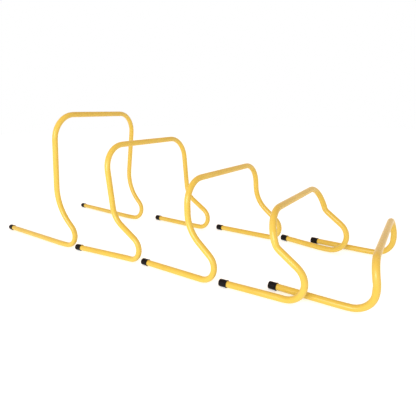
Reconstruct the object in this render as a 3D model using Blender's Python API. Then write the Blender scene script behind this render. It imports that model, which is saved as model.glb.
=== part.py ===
"""Graduated set of five bounce-back agility hurdles.

Each hurdle is one length of round plastic tube, bent into a frame: two feet lie
on the floor, a wide bend at the front of each foot turns the tube up and back
over the foot, a second bend straightens it into a leg, and two rounded corners
carry it into a level crossbar. A rubber cap is pushed over each of the two tube
ends. The hurdles stand in a row along +X, tallest first.

Units are metres, +Z is up, +X is the running direction, +Y is the left side.
"""

import math

import bmesh
import bpy
from mathutils import Matrix, Vector

# ---------------------------------------------------------------- dimensions
TUBE_OD = 0.019          # outside diameter of the plastic tube
TUBE_WALL = 0.0022       # its wall
LEG_SPACING = 0.4185     # centre to centre of the two legs, the same on every hurdle
CAP_OD = 0.0218          # outside diameter of the rubber cap
CAP_LENGTH = 0.0255      # mouth to outer end
CAP_BASE = 0.0030        # thickness of the closed end
CAP_FIT_GAP = 0.0003     # clearance between cap and tube
CAP_EDGE = 0.0030        # rounding of the outer end
CAP_LIP = 0.0007         # the mouth's rolled lip stands this much proud
FOOT_SWEEP = 0.045       # length over which a foot turns aside, next to its bend

OUTER_SIDES = 16         # sides of the round tube outside
INNER_SIDES = 8          # and inside

# Each hurdle: position of the midpoint between its two cap ends, heading, and its
# bends. The tube leaves the floor through a bend of radius bend_r that turns it by
# bend_turn degrees, runs straight for lean_run, comes back through a bend of radius
# s_r until it points leg_angle degrees above the floor, and runs straight for
# leg_run into a corner of radius corner_r. The feet may turn aside a little.
HURDLES = (
    dict(name="hurdle_1", x=-0.7916, y=-0.1103, heading=8.6, foot=0.4056,
         bend_r=0.0462, bend_turn=130.5, lean_run=0.0130, s_r=0.1724, leg_angle=81.6,
         leg_run=0.1704, corner_r=0.0822, turn_right=8.1, turn_left=10.8,
         spread_right=-0.0088, spread_left=-0.0091),
    dict(name="hurdle_2", x=-0.3176, y=-0.0185, heading=2.3, foot=0.2539,
         bend_r=0.0424, bend_turn=145.4, lean_run=0.0653, s_r=0.0751, leg_angle=94.0,
         leg_run=0.1243, corner_r=0.0784, turn_right=-4.4, turn_left=3.2,
         spread_right=-0.0034, spread_left=-0.0018),
    dict(name="hurdle_3", x=-0.0055, y=0.0161, heading=-0.1, foot=0.2402,
         bend_r=0.0433, bend_turn=140.4, lean_run=0.0536, s_r=0.1105, leg_angle=91.8,
         leg_run=0.0192, corner_r=0.0729, turn_right=-0.3, turn_left=-0.7,
         spread_right=0.0116, spread_left=0.0125),
    dict(name="hurdle_4", x=0.2849, y=0.0226, heading=1.4, foot=0.1916,
         bend_r=0.0534, bend_turn=143.2, lean_run=0.0642, s_r=0.0238, leg_angle=108.8,
         leg_run=0.0010, corner_r=0.0816, turn_right=-2.3, turn_left=10.3,
         spread_right=-0.0003, spread_left=-0.0059),
    dict(name="hurdle_5", x=0.4005, y=0.0637, heading=4.0, foot=0.2206,
         bend_r=0.0541, bend_turn=89.8, lean_run=0.0176, s_r=0.0200, leg_angle=101.2,
         leg_run=0.0045, corner_r=0.0518, turn_right=3.9, turn_left=4.3,
         spread_right=-0.0004, spread_left=0.0015),
)

TUBE_R = TUBE_OD / 2
CAP_R = CAP_OD / 2


# ---------------------------------------------------------------- materials
def material(name, colour, roughness, metallic=0.0):
    mat = bpy.data.materials.new(name)
    mat.use_nodes = True
    shader = mat.node_tree.nodes["Principled BSDF"]
    shader.inputs["Base Color"].default_value = (*colour, 1.0)
    shader.inputs["Roughness"].default_value = roughness
    shader.inputs["Metallic"].default_value = metallic
    mat.diffuse_color = (*colour, 1.0)
    return mat


# ---------------------------------------------------------------- centreline
def arc_steps(turn_degrees, radius):
    """Segments for an arc: finer where it turns more, with short chords on wide bends."""
    return max(2, math.ceil(abs(turn_degrees) / 17), math.ceil(abs(math.radians(turn_degrees)) * radius / 0.045))


def side_profile(h):
    """(x, height) of one leg's centreline in its side plane, from the cap's outer end to the corner, above the tube's
    resting height, and the leg's final direction."""
    points = [(0.0, 0.0), (h["foot"] * 0.45, 0.0)]
    sweep_from = h["foot"] - FOOT_SWEEP
    for i in range(5):
        points.append((sweep_from + FOOT_SWEEP * i / 4, 0.0))
    x, z = h["foot"], 0.0
    a1, a2 = math.radians(h["bend_turn"]), math.radians(h["leg_angle"])
    steps = arc_steps(h["bend_turn"], h["bend_r"])
    for i in range(1, steps + 1):
        t = a1 * i / steps
        points.append((x + h["bend_r"] * math.sin(t), z + h["bend_r"] * (1 - math.cos(t))))
    x, z = points[-1]
    x += math.cos(a1) * h["lean_run"]
    z += math.sin(a1) * h["lean_run"]
    points.append((x, z))
    # the second bend turns the tube back, or a little further if the leg leans more than the lean run does
    side = 1.0 if a1 >= a2 else -1.0
    cx, cz = x + side * h["s_r"] * math.sin(a1), z - side * h["s_r"] * math.cos(a1)
    steps = arc_steps(h["bend_turn"] - h["leg_angle"], h["s_r"])
    for i in range(1, steps + 1):
        t = a1 + (a2 - a1) * i / steps
        points.append((cx - side * h["s_r"] * math.sin(t), cz + side * h["s_r"] * math.cos(t)))
    x, z = points[-1]
    if h["leg_run"] > 0.004:
        points.append((x + math.cos(a2) * h["leg_run"], z + math.sin(a2) * h["leg_run"]))
    return points, Vector((math.cos(a2), 0.0, math.sin(a2)))


def leg_path(h, side):
    """One side of the hurdle, from the cap's outer end up to the top of the leg. side is -1 right, +1 left."""
    profile, up = side_profile(h)
    reach = h["foot"] - FOOT_SWEEP / 2
    turn = math.tan(math.radians(h["turn_right"] if side < 0 else h["turn_left"])) * h["foot"] / reach
    rise = (CAP_R - TUBE_R) / reach
    spread = h["spread_right"] if side < 0 else h["spread_left"]
    top = profile[-1][1]
    path = []
    for x, z in profile:
        back = max(0.0, h["foot"] - x) if z == 0.0 else 0.0
        # distance that grows gently over the sweep, then at the full rate
        eased = back * back / (2 * FOOT_SWEEP) if back < FOOT_SWEEP else back - FOOT_SWEEP / 2
        # the legs stand a little wider apart, or closer, at the floor than at the crossbar
        y = side * (LEG_SPACING / 2 + spread * (1 - z / top)) + turn * eased
        path.append(Vector((x, y, TUBE_R + z + rise * eased)))
    return path, up


def corner_path(start, up, side, radius):
    """The corner from the leg's top into the crossbar, turning towards the other side."""
    inward = Vector((0.0, -side, 0.0))
    centre = start + inward * radius
    steps = 6
    points = []
    for i in range(1, steps + 1):
        t = math.pi / 2 * i / steps
        points.append(centre - inward * radius * math.cos(t) + up * radius * math.sin(t))
    return points


def hurdle_path(h):
    """The whole centreline, from the right cap's outer end to the left cap's."""
    right, up = leg_path(h, -1)
    left, _ = leg_path(h, 1)
    right += corner_path(right[-1], up, -1, h["corner_r"])
    left += corner_path(left[-1], up, 1, h["corner_r"])
    place = Matrix.Translation((h["x"], h["y"], 0.0)) @ Matrix.Rotation(math.radians(h["heading"]), 4, "Z")
    return [place @ p for p in right], [place @ p for p in left]


# ---------------------------------------------------------------- tube
def tangents(path):
    found = []
    for i, p in enumerate(path):
        before = (p - path[i - 1]).normalized() if i > 0 else None
        after = (path[i + 1] - p).normalized() if i + 1 < len(path) else None
        found.append(((before or after) + (after or before)).normalized())
    return found


def carried_normals(path, directions, first):
    """Normals that turn with the tube but don't twist about it."""
    normal = (first - directions[0] * first.dot(directions[0])).normalized()
    found = [normal]
    for a, b in zip(directions, directions[1:]):
        normal = a.rotation_difference(b) @ normal
        normal = (normal - b * normal.dot(b)).normalized()
        found.append(normal)
    return found


def frames(right, left):
    """(point, direction, normal) along the whole tube. The normal starts straight down at both feet, so that each foot
    rests on a flat of the many-sided tube."""
    path = right + left[::-1]
    directions = tangents(path)
    half = len(right)
    down = Vector((0.0, 0.0, -1.0))
    first = carried_normals(path[:half], directions[:half], down)
    last = carried_normals(path[half:][::-1], directions[half:][::-1], down)[::-1]
    return list(zip(path, directions, first + last))


def ring(bm, frame, radius, sides):
    """A ring of vertices whose flats lie at the radius, with one flat's middle on the normal."""
    point, direction, normal = frame
    across = direction.cross(normal)
    corner = radius / math.cos(math.pi / sides)
    found = []
    for k in range(sides):
        a = 2 * math.pi * (k + 0.5) / sides
        found.append(bm.verts.new(point + (normal * math.cos(a) + across * math.sin(a)) * corner))
    return found


def skin(bm, rings, outward):
    for a, b in zip(rings, rings[1:]):
        n = len(a)
        for k in range(n):
            quad = [a[k], b[k], b[(k + 1) % n], a[(k + 1) % n]]
            bm.faces.new(quad if not outward else quad[::-1])


def end_ring(bm, outer, inner, flip):
    """The tube's cut end, between sixteen outer and eight inner vertices."""
    n, ratio = len(inner), len(outer) // len(inner)
    m = len(outer)
    for k in range(n):
        o = [outer[(ratio * k + j) % m] for j in range(ratio + 1)]
        here, after = inner[k], inner[(k + 1) % n]
        faces = [(o[0], o[1], here), (o[1], after, here), (o[1], o[2], after)]
        for face in faces:
            bm.faces.new(face[::-1] if flip else face)


def finish_mesh(bm, name, mat):
    bmesh.ops.recalc_face_normals(bm, faces=bm.faces)
    mesh = bpy.data.meshes.new(name)
    bm.to_mesh(mesh)
    bm.free()
    mesh.shade_smooth()
    mesh.set_sharp_from_angle(angle=math.radians(40))
    mesh.materials.append(mat)
    obj = bpy.data.objects.new(name, mesh)
    bpy.context.scene.collection.objects.link(obj)
    return obj


def trimmed(frame_list):
    """The frames of the tube itself, which ends just inside each cap's closed end."""
    inset = CAP_BASE + CAP_FIT_GAP
    first, last = frame_list[0], frame_list[-1]
    start = (first[0] + first[1] * inset, first[1], first[2])
    stop = (last[0] - last[1] * inset, last[1], last[2])
    return [start] + frame_list[1:-1] + [stop]


def make_tube(h, frame_list, mat, parent):
    bm = bmesh.new()
    run = trimmed(frame_list)
    outer = [ring(bm, f, TUBE_R, OUTER_SIDES) for f in run]
    inner = []
    for point, direction, normal in run:
        # the inner ring is turned so that its first vertex lies behind the outer ring's first one
        turn = Matrix.Rotation(math.pi / OUTER_SIDES - math.pi / INNER_SIDES, 3, direction)
        inner.append(ring(bm, (point, direction, turn @ normal), TUBE_R - TUBE_WALL, INNER_SIDES))
    skin(bm, outer, True)
    skin(bm, inner, False)
    end_ring(bm, outer[0], inner[0], False)
    end_ring(bm, outer[-1], inner[-1], True)
    obj = finish_mesh(bm, h["name"] + "_tube", mat)
    obj.parent = parent
    obj.matrix_parent_inverse = parent.matrix_world.inverted()
    return obj


# ---------------------------------------------------------------- cap
def cap_profile():
    """(distance from the outer end, radius) down the outside from the mouth, round the closed end, then inside."""
    inner = TUBE_R + CAP_FIT_GAP
    outside = [
        (CAP_LENGTH, CAP_R + CAP_LIP - 0.0006),
        (CAP_LENGTH - 0.0006, CAP_R + CAP_LIP),
        (CAP_LENGTH - 0.0026, CAP_R + CAP_LIP),
        (CAP_LENGTH - 0.0034, CAP_R),
        (CAP_EDGE, CAP_R),
    ]
    steps = 3
    for i in range(1, steps + 1):
        t = math.pi / 2 * i / steps
        outside.append((CAP_EDGE * (1 - math.sin(t)), CAP_R - CAP_EDGE * (1 - math.cos(t))))
    inside = [(CAP_BASE, inner), (CAP_LENGTH, inner)]
    return outside, inside


def make_cap(frame, outward_sign, name, mat, parent):
    """A rubber cap whose axis is the foot's. frame is at the cap's outer end."""
    point, direction, normal = frame
    along = direction * outward_sign  # from the outer end towards the mouth
    outside, inside = cap_profile()
    bm = bmesh.new()
    rings = []
    for d, r in outside + inside:
        rings.append((d, ring(bm, (point + along * d, direction, normal), r, OUTER_SIDES)))
    n = len(outside)
    for (_, a), (_, b) in zip(rings[: n], rings[1: n]):
        skin(bm, [a, b], True)
    bm.faces.new(rings[n - 1][1])
    bm.faces.new(rings[n][1])
    skin(bm, [rings[n][1], rings[n + 1][1]], True)
    skin(bm, [rings[n + 1][1], rings[0][1]], True)
    # the underside is worn level, so that the cap stands on a real flat
    for v in bm.verts:
        if v.co.z < FLOOR_FLAT:
            v.co.z = 0.0
    obj = finish_mesh(bm, name, mat)
    obj.parent = parent
    obj.matrix_parent_inverse = parent.matrix_world.inverted()
    return obj


FLOOR_FLAT = 0.00035     # underside vertices below this height are brought level with the floor


# ---------------------------------------------------------------- build
def main():
    for obj in list(bpy.data.objects):
        bpy.data.objects.remove(obj, do_unlink=True)
    tube_yellow = material("tube_yellow_plastic", (0.90, 0.58, 0.08), 0.28)
    cap_black = material("cap_black_rubber", (0.018, 0.016, 0.018), 0.55)

    bodies = []
    for h in HURDLES:
        right, left = hurdle_path(h)
        body = bpy.data.objects.new(h["name"], None)
        body.location = (h["x"], h["y"], 0.0)
        bpy.context.scene.collection.objects.link(body)
        bpy.context.view_layer.update()
        frame_list = frames(right, left)
        make_tube(h, frame_list, tube_yellow, body)
        make_cap(frame_list[0], 1, h["name"] + "_cap_right", cap_black, body)
        make_cap(frame_list[-1], -1, h["name"] + "_cap_left", cap_black, body)
        bodies.append(body)

    # the whole row is centred over the origin
    bpy.context.view_layer.update()
    corners = [obj.matrix_world @ v.co for obj in bpy.data.objects if obj.type == "MESH" for v in obj.data.vertices]
    middle = Vector([(min(c[k] for c in corners) + max(c[k] for c in corners)) / 2 for k in range(2)] + [0.0])
    for body in bodies:
        body.location -= middle
    bpy.context.view_layer.update()
    print("row centre moved by", tuple(round(v, 6) for v in middle))


main()
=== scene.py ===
"""Looks for the graduated set of five bounce-back agility hurdles.

The CAD model holds each tube and cap as a many-sided solid. Here each tube is made again as a smooth hollow tube on the
same centreline, a little flattened where it was bent, and each rubber cap as a turned moulding. Nothing changes size.
"""

import math

import bpy
import numpy as np
from mathutils import Matrix, Vector


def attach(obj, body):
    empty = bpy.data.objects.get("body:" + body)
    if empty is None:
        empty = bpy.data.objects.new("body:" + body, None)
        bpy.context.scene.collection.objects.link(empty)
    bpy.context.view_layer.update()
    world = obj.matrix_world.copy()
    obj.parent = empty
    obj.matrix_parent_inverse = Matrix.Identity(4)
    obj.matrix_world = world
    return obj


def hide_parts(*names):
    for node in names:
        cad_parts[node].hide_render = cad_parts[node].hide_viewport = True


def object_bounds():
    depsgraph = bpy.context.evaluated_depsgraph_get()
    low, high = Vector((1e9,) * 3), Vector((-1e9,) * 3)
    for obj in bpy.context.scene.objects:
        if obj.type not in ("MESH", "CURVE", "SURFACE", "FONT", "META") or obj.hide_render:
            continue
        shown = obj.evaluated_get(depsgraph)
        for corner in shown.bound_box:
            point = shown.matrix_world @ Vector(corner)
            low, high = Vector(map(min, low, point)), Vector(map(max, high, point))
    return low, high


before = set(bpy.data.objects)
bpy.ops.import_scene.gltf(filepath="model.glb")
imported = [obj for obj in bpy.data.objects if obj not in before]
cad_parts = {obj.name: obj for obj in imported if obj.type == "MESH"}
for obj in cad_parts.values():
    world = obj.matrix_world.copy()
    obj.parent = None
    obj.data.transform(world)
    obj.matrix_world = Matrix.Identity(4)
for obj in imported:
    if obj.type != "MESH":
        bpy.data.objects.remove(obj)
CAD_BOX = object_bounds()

# ------------------------------------------------------------------ dimensions, as in the CAD source
TUBE_R = 0.0095
TUBE_WALL = 0.0022
LEG_SPACING = 0.4185
CAP_R = 0.0109
CAP_LENGTH = 0.0255
CAP_BASE = 0.0030
CAP_FIT_GAP = 0.0003
CAP_EDGE = 0.0030
CAP_LIP = 0.0007
FOOT_SWEEP = 0.045

HURDLES = (
    dict(name="hurdle_1", x=-0.7916, y=-0.1103, heading=8.6, foot=0.4056,
         bend_r=0.0462, bend_turn=130.5, lean_run=0.0130, s_r=0.1724, leg_angle=81.6,
         leg_run=0.1704, corner_r=0.0822, turn_right=8.1, turn_left=10.8,
         spread_right=-0.0088, spread_left=-0.0091),
    dict(name="hurdle_2", x=-0.3176, y=-0.0185, heading=2.3, foot=0.2539,
         bend_r=0.0424, bend_turn=145.4, lean_run=0.0653, s_r=0.0751, leg_angle=94.0,
         leg_run=0.1243, corner_r=0.0784, turn_right=-4.4, turn_left=3.2,
         spread_right=-0.0034, spread_left=-0.0018),
    dict(name="hurdle_3", x=-0.0055, y=0.0161, heading=-0.1, foot=0.2402,
         bend_r=0.0433, bend_turn=140.4, lean_run=0.0536, s_r=0.1105, leg_angle=91.8,
         leg_run=0.0192, corner_r=0.0729, turn_right=-0.3, turn_left=-0.7,
         spread_right=0.0116, spread_left=0.0125),
    dict(name="hurdle_4", x=0.2849, y=0.0226, heading=1.4, foot=0.1916,
         bend_r=0.0534, bend_turn=143.2, lean_run=0.0642, s_r=0.0238, leg_angle=108.8,
         leg_run=0.0010, corner_r=0.0816, turn_right=-2.3, turn_left=10.3,
         spread_right=-0.0003, spread_left=-0.0059),
    dict(name="hurdle_5", x=0.4005, y=0.0637, heading=4.0, foot=0.2206,
         bend_r=0.0541, bend_turn=89.8, lean_run=0.0176, s_r=0.0200, leg_angle=101.2,
         leg_run=0.0045, corner_r=0.0518, turn_right=3.9, turn_left=4.3,
         spread_right=-0.0004, spread_left=0.0015),
)

# ------------------------------------------------------------------ centreline


def sampled_profile(h):
    """One leg's centreline in its side plane, every millimetre or so: x and height, the foot being the part at height
    nought, and the leg's direction.
    """
    step = 0.001
    pts = [(x, 0.0) for x in np.arange(0.0, h["foot"], step)]
    x, z = h["foot"], 0.0
    a1, a2 = math.radians(h["bend_turn"]), math.radians(h["leg_angle"])
    n = max(4, int(a1 * h["bend_r"] / step))
    pts += [(x + h["bend_r"] * math.sin(a1 * i / n), h["bend_r"] * (1 - math.cos(a1 * i / n))) for i in range(n + 1)]
    x, z = pts[-1]
    n = max(1, int(h["lean_run"] / step))
    pts += [(x + math.cos(a1) * h["lean_run"] * i / n, z + math.sin(a1) * h["lean_run"] * i / n) for i in range(1, n + 1)]
    x, z = pts[-1]
    side = 1.0 if a1 >= a2 else -1.0
    cx, cz = x + side * h["s_r"] * math.sin(a1), z - side * h["s_r"] * math.cos(a1)
    n = max(4, int(abs(a2 - a1) * h["s_r"] / step))
    for i in range(1, n + 1):
        t = a1 + (a2 - a1) * i / n
        pts.append((cx - side * h["s_r"] * math.sin(t), cz + side * h["s_r"] * math.cos(t)))
    x, z = pts[-1]
    if h["leg_run"] > 0.004:
        n = max(1, int(h["leg_run"] / step))
        pts += [(x + math.cos(a2) * h["leg_run"] * i / n, z + math.sin(a2) * h["leg_run"] * i / n) for i in range(1, n + 1)]
    return np.array(pts), np.array([math.cos(a2), 0.0, math.sin(a2)])


def half_path(h, side):
    """One side of the hurdle, from the cap's outer end to the middle of the crossbar, in the hurdle's own frame."""
    profile, up = sampled_profile(h)
    span = h["foot"] - FOOT_SWEEP / 2
    turn = math.tan(math.radians(h["turn_right"] if side < 0 else h["turn_left"])) * h["foot"] / span
    rise = (CAP_R - TUBE_R) / span
    back = np.where(profile[:, 1] == 0.0, np.maximum(0.0, h["foot"] - profile[:, 0]), 0.0)
    eased = np.where(back < FOOT_SWEEP, back * back / (2 * FOOT_SWEEP), back - FOOT_SWEEP / 2)
    spread = (h["spread_right"] if side < 0 else h["spread_left"]) * (1 - profile[:, 1] / profile[-1, 1])
    path = np.stack([profile[:, 0], side * (LEG_SPACING / 2 + spread) + turn * eased, TUBE_R + profile[:, 1] + rise * eased], 1)
    r = h["corner_r"]
    inward = np.array([0.0, -side, 0.0])
    centre = path[-1] + inward * r
    n = max(6, int(math.pi / 2 * r / 0.001))
    t = np.linspace(0, math.pi / 2, n + 1)[1:, None]
    corner = centre - inward * r * np.cos(t) + up * r * np.sin(t)
    reach = abs(corner[-1][1])
    n = max(2, int(reach / 0.001))
    bar = corner[-1] + inward * reach * np.linspace(0, 1, n + 1)[1:, None]
    return np.concatenate([path, corner, bar])


def along(path):
    return np.concatenate([[0.0], np.cumsum(np.linalg.norm(np.diff(path, axis=0), axis=1))])


def evened(path, step):
    s = along(path)
    want = np.linspace(0, s[-1], max(2, int(round(s[-1] / step))) + 1)
    return np.stack([np.interp(want, s, path[:, k]) for k in range(3)], 1)


def softened(path, reach):
    """The centreline with its changes of curvature eased, as a tube bent round a former has them. Its two ends stay put."""
    step = np.linalg.norm(path[1] - path[0])
    half = int(3 * reach / step)
    weights = np.exp(-0.5 * (np.arange(-half, half + 1) * step / reach) ** 2)
    weights /= weights.sum()
    before = path[0] + (path[0] - path[1]) * np.arange(half, 0, -1)[:, None]
    after = path[-1] + (path[-1] - path[-2]) * np.arange(1, half + 1)[:, None]
    full = np.concatenate([before, path, after])
    return np.stack([np.convolve(full[:, k], weights, "valid") for k in range(3)], 1)


def hurdle_path(h):
    right = half_path(h, -1)
    left = half_path(h, 1)
    path = softened(evened(np.concatenate([right, left[::-1][1:]]), 0.001), 0.0045)
    c, s = math.cos(math.radians(h["heading"])), math.sin(math.radians(h["heading"]))
    out = path.copy()
    out[:, 0] = h["x"] + c * path[:, 0] - s * path[:, 1]
    out[:, 1] = h["y"] + s * path[:, 0] + c * path[:, 1]
    return out


def stations(path, least=0.0035, most=0.016):
    """Indices of the path's points to keep: close together on tight bends, further apart where it is straight."""
    s = along(path)
    step = s[1]
    d = np.gradient(path, axis=0)
    d /= np.linalg.norm(d, axis=1)[:, None]
    k = np.linalg.norm(np.gradient(d, axis=0), axis=1) / step
    widest = np.array([k[max(0, i - 12): i + 13].max() for i in range(len(k))])
    keep, last = [0], 0
    for i in range(1, len(path) - 1):
        gap = min(most, max(least, 0.085 / max(widest[i], 1e-6)))
        if s[i] - s[last] >= gap and s[-1] - s[i] > 0.6 * gap:
            keep.append(i)
            last = i
    return keep + [len(path) - 1]


def carried(directions, first):
    normal = first - directions[0] * first.dot(directions[0])
    normal /= np.linalg.norm(normal)
    found = [normal]
    for b in directions[1:]:
        normal = normal - b * normal.dot(b)
        normal = normal / np.linalg.norm(normal)
        found.append(normal)
    return np.array(found)


def frames(path):
    """Direction, down-side normal and bend vector at every point. The normals run up from both feet and meet in the
    middle of the crossbar."""
    d = np.gradient(path, axis=0)
    d /= np.linalg.norm(d, axis=1)[:, None]
    step = np.linalg.norm(path[1] - path[0])
    bend = np.gradient(d, axis=0) / step
    half = len(path) // 2
    down = np.array([0.0, 0.0, -1.0])
    first = carried(d[:half], down)
    last = carried(d[half:][::-1], down)[::-1]
    normal = np.concatenate([first, last])
    # a turn of a degree or so is left where the two halves meet, because the feet turn aside: spread it over the bar
    a, b, t = first[-1], last[0], d[half]
    twist = math.atan2(np.cross(a, b).dot(t), a.dot(b))
    spread = 140
    for i in range(half - spread, half + spread):
        share = (i - (half - spread)) / (2 * spread)
        angle = twist * share if i < half else -twist * (1 - share)
        n, axis = normal[i], d[i]
        normal[i] = n * math.cos(angle) + np.cross(axis, n) * math.sin(angle)
    return d, normal, bend


# ------------------------------------------------------------------ mesh helpers


def mesh_object(name, verts, faces, vectors=None, values=None, sharp=50):
    mesh = bpy.data.meshes.new(name)
    mesh.from_pydata([tuple(v) for v in verts], [], faces)
    for key, data in (vectors or {}).items():
        mesh.attributes.new(key, "FLOAT_VECTOR", "POINT").data.foreach_set("vector", np.asarray(data, np.float32).ravel())
    for key, data in (values or {}).items():
        mesh.attributes.new(key, "FLOAT", "POINT").data.foreach_set("value", np.asarray(data, np.float32).ravel())
    mesh.validate(clean_customdata=False)
    mesh.shade_smooth()
    mesh.set_sharp_from_angle(angle=math.radians(sharp))
    obj = bpy.data.objects.new(name, mesh)
    bpy.context.scene.collection.objects.link(obj)
    return obj


def skin_faces(first, rows, sides, flip):
    out = []
    for i in range(rows - 1):
        a, b = first + i * sides, first + (i + 1) * sides
        for k in range(sides):
            j = (k + 1) % sides
            quad = (a + k, b + k, b + j, a + j)
            out.append(quad if flip else quad[::-1])
    return out


# ------------------------------------------------------------------ tube

OUTER, INNER = 48, 24


def make_tube(h, path, d, normal, bend):
    inset = CAP_BASE + CAP_FIT_GAP
    s = along(path)
    keep = [i for i in stations(path) if inset + 0.004 < s[i] < s[-1] - inset - 0.004]
    start = int(np.searchsorted(s, inset))
    stop = len(s) - 1 - start
    keep = [start, start + 1] + keep + [stop - 1, stop]
    across = np.cross(d, normal)
    verts, coords, wear = [], [], []

    def rings(radius, sides, chamfer):
        for n, i in enumerate(keep):
            k = bend[i]
            size = np.linalg.norm(k)
            flat = 0.030 * min(1.0, size / 16.0) ** 1.5
            lean = math.atan2(k.dot(across[i]), k.dot(normal[i])) if size > 1e-6 else 0.0
            shrink = chamfer if n in (0, len(keep) - 1) else 0.0
            for q in range(sides):
                a = 2 * math.pi * q / sides
                # a bend is flattened between its inside and its outside, and never swells past its own radius
                r = (radius - shrink) * (1 - 1.4 * flat * math.cos(a - lean) ** 2)
                p = path[i] + (normal[i] * math.cos(a) + across[i] * math.sin(a)) * r
                p[2] = max(p[2], 0.0)
                verts.append(p)
                coords.append((radius * math.cos(a), radius * math.sin(a), s[i]))
                # rubbing: undersides on the ground, and the outside of the tight bends
                ground = max(0.0, 1.0 - p[2] / 0.006)
                outside = max(0.0, -math.cos(a - lean)) * min(1.0, size / 22.0)
                mouth = max(0.0, 1.0 - abs(min(s[i], s[-1] - s[i]) - CAP_LENGTH) / 0.004)
                wear.append(min(1.0, ground + 0.35 * outside + 0.45 * mouth))

    rings(TUBE_R, OUTER, 0.0004)
    n_out = len(verts)
    rings(TUBE_R - TUBE_WALL, INNER, -0.0004)
    rows = len(keep)
    faces = skin_faces(0, rows, OUTER, False)
    faces += skin_faces(n_out, rows, INNER, True)
    for row, flip in ((0, False), (rows - 1, True)):
        o, i = row * OUTER, n_out + row * INNER
        for k in range(INNER):
            a, b, c = o + 2 * k, o + 2 * k + 1, o + (2 * k + 2) % OUTER
            p, q = i + k, i + (k + 1) % INNER
            for face in ((a, b, p), (b, q, p), (b, c, q)):
                faces.append(face if not flip else face[::-1])
    name = h["name"] + "_tube_bent"
    obj = mesh_object(name, verts, faces, {"tube_xyz": coords}, {"wear": wear}, 60)
    return obj


# ------------------------------------------------------------------ cap


def cap_profile():
    """(distance from the outer end, radius, wear) from the bore's floor, out of the mouth, down the outside and over the end."""
    bore = TUBE_R + CAP_FIT_GAP
    pts = [(CAP_BASE, 0.0, 0), (CAP_BASE, bore * 0.55, 0), (CAP_BASE, bore - 0.0008, 0), (CAP_BASE + 0.0003, bore - 0.0002, 0),
           (CAP_BASE + 0.0009, bore, 0), (0.010, bore, 0), (0.017, bore, 0), (CAP_LENGTH - 0.0009, bore, 0)]
    lip = CAP_R + CAP_LIP - 0.00003  # a true circle, which stays inside the many-sided solid's box
    # mouth: a small rolled bead
    mid, half = (bore + lip) / 2, (lip - bore) / 2
    for i in range(0, 9):
        t = math.pi * i / 8
        pts.append((CAP_LENGTH - half * 0.75 + half * 0.75 * math.sin(t), mid - half * math.cos(t), 0.35))
    # bead down into the body, on an S-shaped slope
    top = CAP_LENGTH - half * 0.75
    for i in range(1, 9):
        t = i / 8
        ease = t * t * (3 - 2 * t)
        pts.append((top - 0.0010 - 0.0024 * t, lip - CAP_LIP * ease, 0.25 * (1 - t)))
    # body, very slightly barrelled
    for t in np.linspace(0.08, 1, 9):
        z = (top - 0.0034) * (1 - t) + CAP_EDGE * t
        pts.append((z, CAP_R - 0.00012 * (1 - math.sin(math.pi * t)), 0.05))
    for i in range(1, 11):
        t = math.pi / 2 * i / 10
        pts.append((CAP_EDGE * (1 - math.sin(t)), CAP_R - 0.00012 - CAP_EDGE * (1 - math.cos(t)), 0.9 * math.sin(2 * t) + 0.1))
    # end face: a shallow turned dish with a small moulding button
    edge = CAP_R - CAP_EDGE - 0.00012
    pts += [(0.0, edge - 0.0008, 0.4), (0.00005, edge - 0.0012, 0.3), (0.00035, edge - 0.0018, 0.1), (0.00045, edge - 0.0024, 0.0),
            (0.00045, 0.0026, 0.0), (0.00040, 0.0022, 0.1), (0.00015, 0.0019, 0.3), (0.00010, 0.0015, 0.3), (0.00010, 0.0, 0.2)]
    return pts


def make_cap(name, point, outward, down):
    """A moulded rubber cap. point is the middle of its outer end and outward its axis, away from the tube."""
    inward = -outward
    down = down - outward * down.dot(outward)
    down /= np.linalg.norm(down)
    side = np.cross(inward, down)
    angles = list(np.arange(64) * 2 * math.pi / 64)
    for seam in (math.pi / 2, 3 * math.pi / 2):
        angles += [seam + x for x in (-0.034, -0.022, 0.022, 0.034)]
    angles = sorted(angles)
    profile = cap_profile()
    n = len(angles)
    verts, coords, wear, faces = [], [], [], []
    rows = []
    for z, r, w in profile:
        if r == 0.0:
            rows.append([len(verts)])
            verts.append(point + inward * z)
            coords.append((0.0, 0.0, z))
            wear.append(w)
            continue
        row = []
        for a in angles:
            rr = r
            seam = min(abs(a - math.pi / 2), abs(a - 3 * math.pi / 2))
            if 0.0005 < z < CAP_LENGTH - 0.0002 and r > CAP_R - 0.002:
                rr += 0.00010 * max(0.0, 1 - seam / 0.022)  # the mould's parting line
            p = point + inward * z + (down * math.cos(a) + side * math.sin(a)) * rr
            row.append(len(verts))
            verts.append(p)
            coords.append((rr * math.cos(a), rr * math.sin(a), z))
            wear.append(min(1.0, w + (0.8 if p[2] < 0.0006 else 0.0)))
        rows.append(row)
    for a, b in zip(rows, rows[1:]):
        if len(a) == 1:
            faces += [(a[0], b[(k + 1) % n], b[k]) for k in range(n)]
        elif len(b) == 1:
            faces += [(a[k], a[(k + 1) % n], b[0]) for k in range(n)]
        else:
            faces += [(a[k], a[(k + 1) % n], b[(k + 1) % n], b[k]) for k in range(n)]
    verts = np.array(verts)
    # soft rubber: the underside lies flat on the ground
    verts[:, 2] = np.maximum(verts[:, 2], 0.0)
    return mesh_object(name, verts, faces, {"cap_xyz": coords}, {"wear": wear}, 42)


# ------------------------------------------------------------------ materials


def node(tree, kind, **settings):
    made = tree.nodes.new(kind)
    for key, value in settings.items():
        if key in made.inputs:
            made.inputs[key].default_value = value
        else:
            setattr(made, key, value)
    return made


def ramp(tree, source, stops):
    made = tree.nodes.new("ShaderNodeValToRGB")
    made.color_ramp.interpolation = "EASE"
    while len(made.color_ramp.elements) < len(stops):
        made.color_ramp.elements.new(0.5)
    for element, (at, colour) in zip(made.color_ramp.elements, stops):
        element.position = at
        element.color = (*colour, 1.0) if len(colour) == 3 else colour
    tree.links.new(source, made.inputs["Fac"])
    return made


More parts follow.
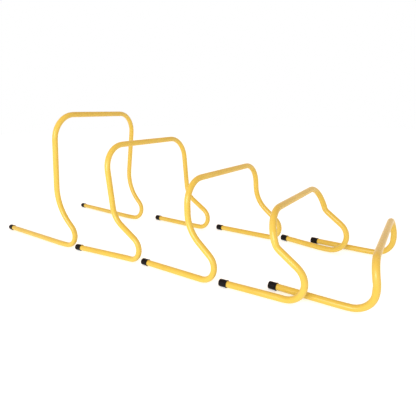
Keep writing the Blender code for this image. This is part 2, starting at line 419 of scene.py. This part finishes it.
def math_node(tree, operation, a, b=None, clamp=False):
    made = tree.nodes.new("ShaderNodeMath")
    made.operation = operation
    made.use_clamp = clamp
    for socket, value in zip(made.inputs, (a, b)):
        if value is None:
            continue
        if isinstance(value, (int, float)):
            socket.default_value = value
        else:
            tree.links.new(value, socket)
    return made.outputs[0]


def mapped(tree, source, scale):
    made = tree.nodes.new("ShaderNodeMapping")
    made.inputs["Scale"].default_value = scale
    tree.links.new(source, made.inputs["Vector"])
    return made.outputs["Vector"]


def noise(tree, vector, scale, detail=3.0, roughness=0.55):
    made = node(tree, "ShaderNodeTexNoise", Scale=scale, Detail=detail, Roughness=roughness)
    tree.links.new(vector, made.inputs["Vector"])
    return made.outputs["Fac"]


def mix_colour(tree, fac, a, b, blend="MIX"):
    made = tree.nodes.new("ShaderNodeMix")
    made.data_type = "RGBA"
    made.blend_type = blend
    for socket, value in ((made.inputs["Factor"], fac), (made.inputs["A"], a), (made.inputs["B"], b)):
        if isinstance(value, tuple):
            socket.default_value = (*value, 1.0)
        elif isinstance(value, (int, float)):
            socket.default_value = value
        else:
            tree.links.new(value, socket)
    return made.outputs["Result"]


def new_material(name):
    mat = bpy.data.materials.new(name)
    mat.use_nodes = True
    tree = mat.node_tree
    tree.nodes.clear()
    out = tree.nodes.new("ShaderNodeOutputMaterial")
    shader = tree.nodes.new("ShaderNodeBsdfPrincipled")
    tree.links.new(shader.outputs[0], out.inputs["Surface"])
    return mat, tree, shader


def tube_material():
    mat, tree, shader = new_material("tube_yellow_plastic")
    coords = node(tree, "ShaderNodeAttribute", attribute_name="tube_xyz").outputs["Vector"]
    wear = node(tree, "ShaderNodeAttribute", attribute_name="wear").outputs["Fac"]
    # colour: extruded plastic, a little uneven along its length and clouded at hand scale
    streaks = noise(tree, mapped(tree, coords, (1.0, 1.0, 0.02)), 900.0, 2.0, 0.5)
    clouds = noise(tree, mapped(tree, coords, (1.0, 1.0, 0.35)), 38.0, 3.0, 0.55)
    fine = noise(tree, coords, 650.0, 4.0, 0.6)
    tone = math_node(tree, "ADD", math_node(tree, "MULTIPLY", streaks, 0.35), math_node(tree, "MULTIPLY", clouds, 0.65))
    colour = ramp(tree, tone, [(0.30, (0.538, 0.366, 0.043)), (0.50, (0.584, 0.408, 0.054)), (0.72, (0.632, 0.450, 0.071))]).outputs["Color"]
    # scuffs: pale, chalky rubs where it lies on the ground and over the bends, and a few stray ones elsewhere
    rub = noise(tree, mapped(tree, coords, (1.0, 1.0, 0.25)), 420.0, 5.0, 0.65)
    patches = noise(tree, coords, 22.0, 2.0, 0.5)
    amount = math_node(tree, "ADD", math_node(tree, "MULTIPLY", wear, 0.40), math_node(tree, "MULTIPLY", patches, 0.22))
    scuff = math_node(tree, "SUBTRACT", math_node(tree, "ADD", rub, amount), 0.76, clamp=True)
    scuff = math_node(tree, "MULTIPLY", scuff, 3.0, clamp=True)
    colour = mix_colour(tree, math_node(tree, "MULTIPLY", scuff, 0.40), colour, (0.80, 0.62, 0.30))
    # hairline scratches round and along the tube, a little paler than the plastic
    scratch = noise(tree, mapped(tree, coords, (1.0, 1.0, 9.0)), 95.0, 2.0, 0.4)
    line = math_node(tree, "ABSOLUTE", math_node(tree, "SUBTRACT", scratch, 0.5))
    line = math_node(tree, "SUBTRACT", 1.0, math_node(tree, "MULTIPLY", line, 160.0), clamp=True)
    few = math_node(tree, "SUBTRACT", math_node(tree, "MULTIPLY", noise(tree, coords, 31.0, 1.0, 0.5), 4.0), 2.2, clamp=True)
    line = math_node(tree, "MULTIPLY", line, few, clamp=True)
    colour = mix_colour(tree, math_node(tree, "MULTIPLY", line, 0.22), colour, (0.86, 0.68, 0.32))
    # fine dust of the ground in the rubbed places
    dust = math_node(tree, "MULTIPLY", math_node(tree, "MULTIPLY", wear, fine), 0.30)
    colour = mix_colour(tree, dust, colour, (0.42, 0.33, 0.20))
    tree.links.new(colour, shader.inputs["Base Color"])
    rough = math_node(tree, "ADD", math_node(tree, "MULTIPLY", clouds, 0.10), math_node(tree, "MULTIPLY", fine, 0.06))
    rough = math_node(tree, "ADD", math_node(tree, "ADD", rough, math_node(tree, "MULTIPLY", scuff, 0.22)), 0.19)
    tree.links.new(rough, shader.inputs["Roughness"])
    shader.inputs["IOR"].default_value = 1.53
    shader.inputs["Specular IOR Level"].default_value = 0.38
    # surface: orange peel, die lines along the tube and hairline scratches
    peel = noise(tree, coords, 320.0, 2.0, 0.5)
    lines = noise(tree, mapped(tree, coords, (1.0, 1.0, 0.006)), 2600.0, 2.0, 0.5)
    hair = noise(tree, mapped(tree, coords, (1.0, 1.0, 0.08)), 3200.0, 3.0, 0.7)
    height = math_node(tree, "ADD", math_node(tree, "MULTIPLY", peel, 0.55), math_node(tree, "MULTIPLY", lines, 0.20))
    height = math_node(tree, "ADD", height, math_node(tree, "MULTIPLY", math_node(tree, "MULTIPLY", hair, scuff), 0.5))
    height = math_node(tree, "SUBTRACT", height, math_node(tree, "MULTIPLY", line, 0.35))
    bump = node(tree, "ShaderNodeBump", Strength=0.16, Distance=0.0006)
    tree.links.new(height, bump.inputs["Height"])
    tree.links.new(bump.outputs["Normal"], shader.inputs["Normal"])
    return mat


def cap_material():
    mat, tree, shader = new_material("cap_black_rubber")
    coords = node(tree, "ShaderNodeAttribute", attribute_name="cap_xyz").outputs["Vector"]
    wear = node(tree, "ShaderNodeAttribute", attribute_name="wear").outputs["Fac"]
    clouds = noise(tree, coords, 140.0, 4.0, 0.6)
    grain = noise(tree, coords, 2400.0, 3.0, 0.65)
    colour = ramp(tree, clouds, [(0.30, (0.0035, 0.0030, 0.0035)), (0.55, (0.0055, 0.0048, 0.0055)), (0.78, (0.0090, 0.0080, 0.0085))]).outputs["Color"]
    rub = math_node(tree, "SUBTRACT", math_node(tree, "ADD", noise(tree, coords, 700.0, 5.0, 0.7), math_node(tree, "MULTIPLY", wear, 0.30)), 0.66, clamp=True)
    rub = math_node(tree, "MULTIPLY", rub, 2.6, clamp=True)
    colour = mix_colour(tree, math_node(tree, "MULTIPLY", rub, 0.55), colour, (0.045, 0.041, 0.038))
    tree.links.new(colour, shader.inputs["Base Color"])
    rough = math_node(tree, "ADD", math_node(tree, "MULTIPLY", clouds, 0.22), math_node(tree, "MULTIPLY", rub, 0.20))
    rough = math_node(tree, "ADD", rough, 0.36, clamp=True)
    tree.links.new(rough, shader.inputs["Roughness"])
    shader.inputs["IOR"].default_value = 1.5
    shader.inputs["Specular IOR Level"].default_value = 0.09
    height = math_node(tree, "ADD", math_node(tree, "MULTIPLY", grain, 0.6), math_node(tree, "MULTIPLY", clouds, 0.5))
    bump = node(tree, "ShaderNodeBump", Strength=0.30, Distance=0.0004)
    tree.links.new(height, bump.inputs["Height"])
    tree.links.new(bump.outputs["Normal"], shader.inputs["Normal"])
    return mat


# ------------------------------------------------------------------ build

YELLOW, BLACK = tube_material(), cap_material()

pieces = []
for h in HURDLES:
    path = hurdle_path(h)
    d, normal, bend = frames(path)
    tube = make_tube(h, path, d, normal, bend)
    tube.data.materials.append(YELLOW)
    pieces.append((tube, h["name"], h["name"] + "_tube", "tube_yellow"))
    for side, i, sign in (("right", 0, -1), ("left", len(path) - 1, 1)):
        cap = make_cap(f"{h['name']}_cap_{side}_moulded", path[i], d[i] * sign, np.array([0.0, 0.0, -1.0]))
        cap.data.materials.append(BLACK)
        pieces.append((cap, h["name"], f"{h['name']}_cap_{side}", "cap_black"))

# The table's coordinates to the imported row's, whose box is centred over its origin.
corners = np.array([[getattr(c, axis) for axis in "xyz"] for p in pieces for c in (Vector(v) for v in p[0].bound_box)])
middle = (corners.min(0) + corners.max(0)) / 2
SHIFT = Vector(((CAD_BOX[0][0] + CAD_BOX[1][0]) / 2 - middle[0], (CAD_BOX[0][1] + CAD_BOX[1][1]) / 2 - middle[1], 0.0))
for piece, body, stands_for, slot in pieces:
    piece.data.transform(Matrix.Translation(SHIFT))
    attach(piece, body)
    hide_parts(stands_for)

# ------------------------------------------------------------------ stage

floor_mesh = bpy.data.meshes.new("floor")
floor_mesh.from_pydata([(-9, -9, 0), (9, -9, 0), (9, 9, 0), (-9, 9, 0)], [], [(0, 1, 2, 3)])
floor = bpy.data.objects.new("floor", floor_mesh)
floor.location.z = -0.0002
bpy.context.scene.collection.objects.link(floor)
floor_mat, tree, shader = new_material("floor_white")
tone = ramp(tree, noise(tree, tree.nodes.new("ShaderNodeTexCoord").outputs["Object"], 0.8, 2.0, 0.5),
            [(0.35, (0.86, 0.86, 0.86)), (0.65, (0.88, 0.88, 0.88))]).outputs["Color"]
tree.links.new(tone, shader.inputs["Base Color"])
shader.inputs["Roughness"].default_value = 0.9
shader.inputs["Specular IOR Level"].default_value = 0.0
shader.inputs["Emission Color"].default_value = (0.92, 0.98, 1.0, 1.0)
shader.inputs["Emission Strength"].default_value = 0.42
floor_mesh.materials.append(floor_mat)

world = bpy.data.worlds.new("studio")
bpy.context.scene.world = world
world.use_nodes = True
background = world.node_tree.nodes["Background"]
# a white surround up to a little above the horizon, and a dimmer, warmer ceiling
heights = node(world.node_tree, "ShaderNodeSeparateXYZ")
world.node_tree.links.new(world.node_tree.nodes.new("ShaderNodeTexCoord").outputs["Generated"], heights.inputs[0])
surround = ramp(world.node_tree, heights.outputs["Z"], [(0.36, (1.0, 1.0, 1.0)), (0.62, (1.0, 0.74, 0.62))])
world.node_tree.links.new(surround.outputs["Color"], background.inputs["Color"])
background.inputs["Strength"].default_value = 1.0


def area_light(name, location, target, size, power):
    data = bpy.data.lights.new(name, "AREA")
    data.shape = "RECTANGLE"
    data.size, data.size_y = size
    data.energy = power
    light = bpy.data.objects.new(name, data)
    light.location = location
    light.rotation_euler = (Vector(target) - Vector(location)).to_track_quat("-Z", "Y").to_euler()
    bpy.context.scene.collection.objects.link(light)
    return light


area_light("key", (0.60, -2.45, 0.85), (0.05, 0.0, 0.15), (1.3, 1.0), 41)

# ------------------------------------------------------------------ camera

PSI, PHI, RHO = math.radians(125.517), math.radians(14.837), math.radians(-0.959)
view_dir = Vector((math.cos(PHI) * math.cos(PSI), math.cos(PHI) * math.sin(PSI), -math.sin(PHI)))
right = Vector((math.sin(PSI), -math.cos(PSI), 0.0))
up = right.cross(view_dir)
right, up = right * math.cos(RHO) + up * math.sin(RHO), -right * math.sin(RHO) + up * math.cos(RHO)
camera_data = bpy.data.cameras.new("camera")
camera_data.sensor_width = 36.0
camera_data.lens = 36.0 * 360.79 / 416
camera = bpy.data.objects.new("camera", camera_data)
turn = Matrix((right, up, -view_dir)).transposed().to_4x4()
camera.matrix_world = Matrix.Translation(Vector((0.8160, -0.9817, 0.4823)) + SHIFT) @ turn
bpy.context.scene.collection.objects.link(camera)
bpy.context.scene.camera = camera
bpy.context.scene.view_settings.view_transform = "Standard"

bpy.context.view_layer.update()
